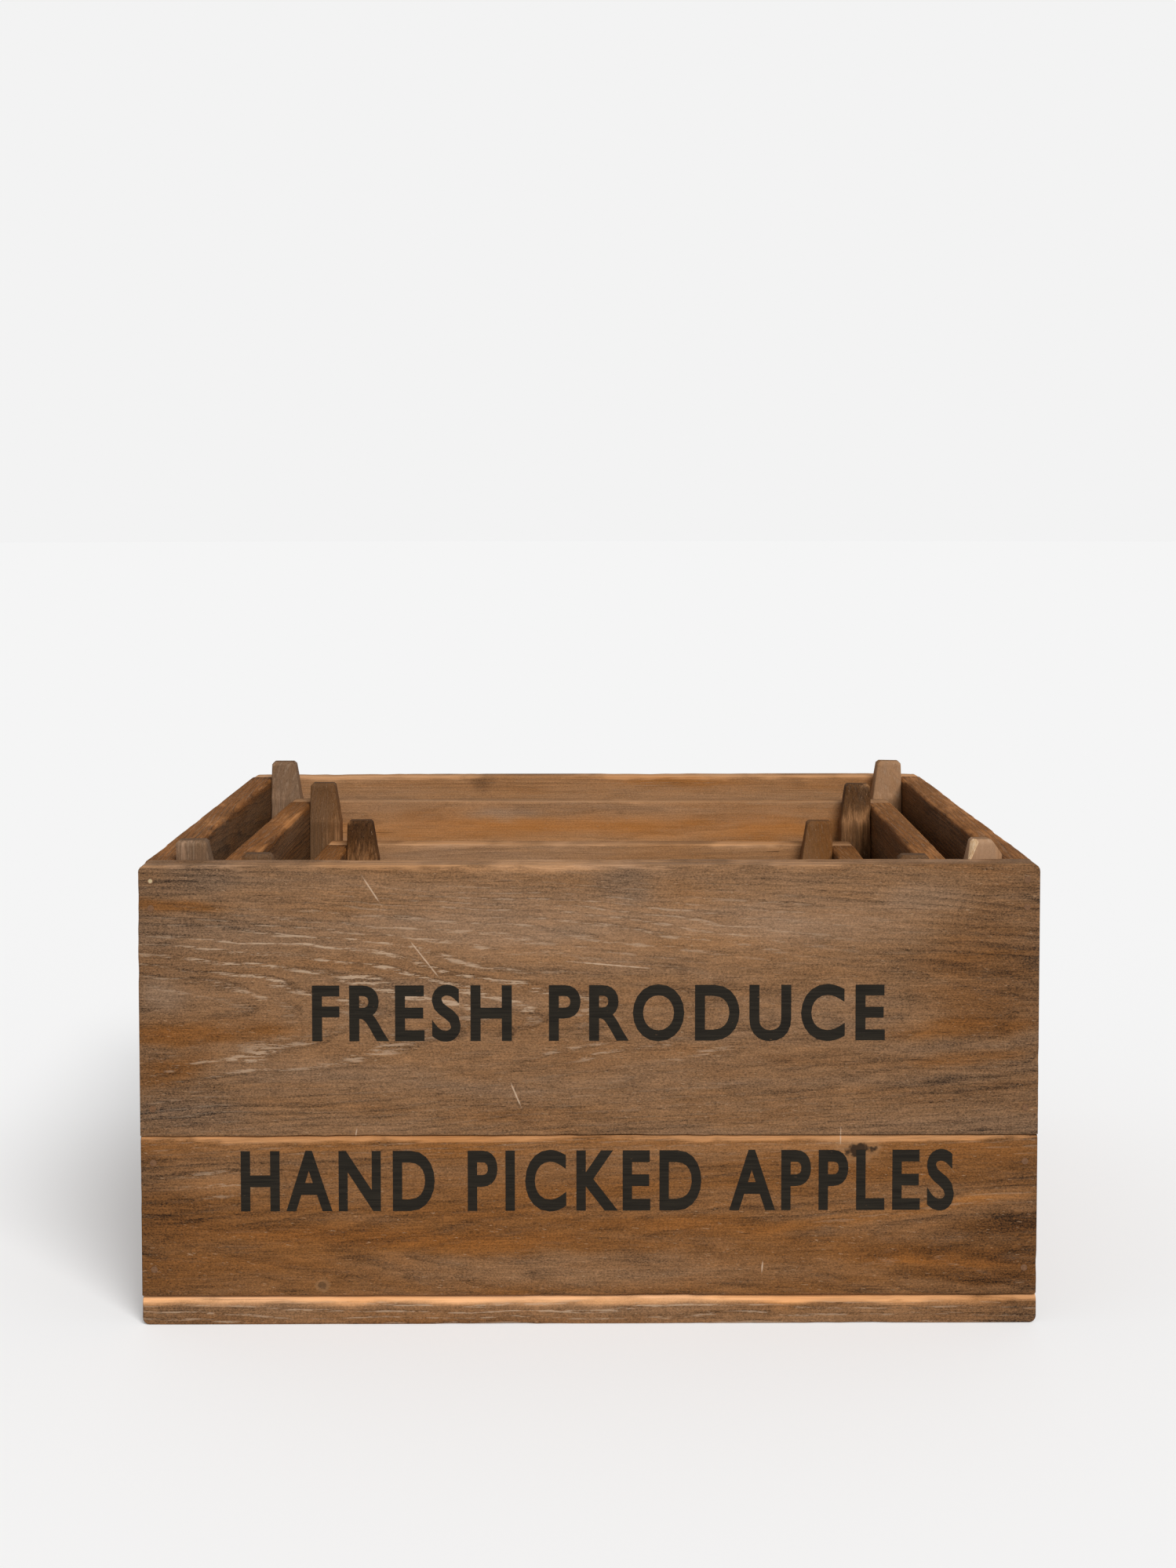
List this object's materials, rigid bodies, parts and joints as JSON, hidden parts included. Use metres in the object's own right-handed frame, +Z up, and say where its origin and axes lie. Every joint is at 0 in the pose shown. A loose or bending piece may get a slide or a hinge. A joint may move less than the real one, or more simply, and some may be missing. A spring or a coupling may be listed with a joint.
{
  "type": "wooden apple crate nest",
  "caption": "Nest of rectangular wooden orchard crates of stepped size, boards nailed round inside corner posts that stand above the rim, hand holes in the ends.",
  "frame": {"origin": "middle of the large crate's underside", "axes": "+X along the long sides to the right, -Y to the front, +Z up"},
  "size_m": [0.4604, 0.3604, 0.2495],
  "materials": {
    "large_board_wood": "dark-stained softwood, worn matt",
    "medium_board_wood": "dark-stained softwood, worn matt",
    "small_board_wood": "dark-stained softwood, worn matt",
    "large_post_wood": "greyed stained softwood, rough sawn",
    "medium_post_wood": "greyed stained softwood, rough sawn",
    "small_post_wood": "dark-stained softwood, rough sawn",
    "nail_steel": "bright to dull wire-nail steel"
  },
  "bodies": {
    "large_crate": {"large_back_board_lower": "large_board_wood", "large_back_board_upper": "large_board_wood", "large_back_nails": "nail_steel", "large_base_board_back": "large_board_wood", "large_base_board_front": "large_board_wood", "large_base_board_middle": "large_board_wood", "large_base_nails": "nail_steel", "large_front_board_lower": "large_board_wood", "large_front_board_upper": "large_board_wood", "large_front_nails": "nail_steel", "large_left_board_lower": "large_board_wood", "large_left_board_upper": "large_board_wood", "large_post_back_left": "large_post_wood", "large_post_back_right": "large_post_wood", "large_post_front_left": "large_post_wood", "large_post_front_right": "large_post_wood", "large_right_board_lower": "large_board_wood", "large_right_board_upper": "large_board_wood", "large_side_nails": "nail_steel"},
    "medium_crate": {"medium_back_board_lower": "medium_board_wood", "medium_back_board_upper": "medium_board_wood", "medium_back_nails": "nail_steel", "medium_base_board_back": "medium_board_wood", "medium_base_board_front": "medium_board_wood", "medium_base_board_middle": "medium_board_wood", "medium_base_nails": "nail_steel", "medium_front_board_lower": "medium_board_wood", "medium_front_board_upper": "medium_board_wood", "medium_front_nails": "nail_steel", "medium_left_board_lower": "medium_board_wood", "medium_left_board_upper": "medium_board_wood", "medium_post_back_left": "medium_post_wood", "medium_post_back_right": "medium_post_wood", "medium_post_front_left": "medium_post_wood", "medium_post_front_right": "medium_post_wood", "medium_right_board_lower": "medium_board_wood", "medium_right_board_upper": "medium_board_wood", "medium_side_nails": "nail_steel"},
    "small_crate": {"small_back_board_lower": "small_board_wood", "small_back_board_upper": "small_board_wood", "small_back_nails": "nail_steel", "small_base_board_back": "small_board_wood", "small_base_board_front": "small_board_wood", "small_base_board_middle": "small_board_wood", "small_base_nails": "nail_steel", "small_front_board_lower": "small_board_wood", "small_front_board_upper": "small_board_wood", "small_front_nails": "nail_steel", "small_left_board_lower": "small_board_wood", "small_left_board_upper": "small_board_wood", "small_post_back_left": "small_post_wood", "small_post_back_right": "small_post_wood", "small_post_front_left": "small_post_wood", "small_post_front_right": "small_post_wood", "small_right_board_lower": "small_board_wood", "small_right_board_upper": "small_board_wood", "small_side_nails": "nail_steel"}
  },
  "joints": [
    {"name": "medium_lift", "type": "slide", "parent": "large_crate", "child": "medium_crate", "axis": [0, 0, 1], "range_m": [0, 0.25]},
    {"name": "small_lift", "type": "slide", "parent": "medium_crate", "child": "small_crate", "axis": [0, 0, 1], "range_m": [0, 0.23]}
  ]
}
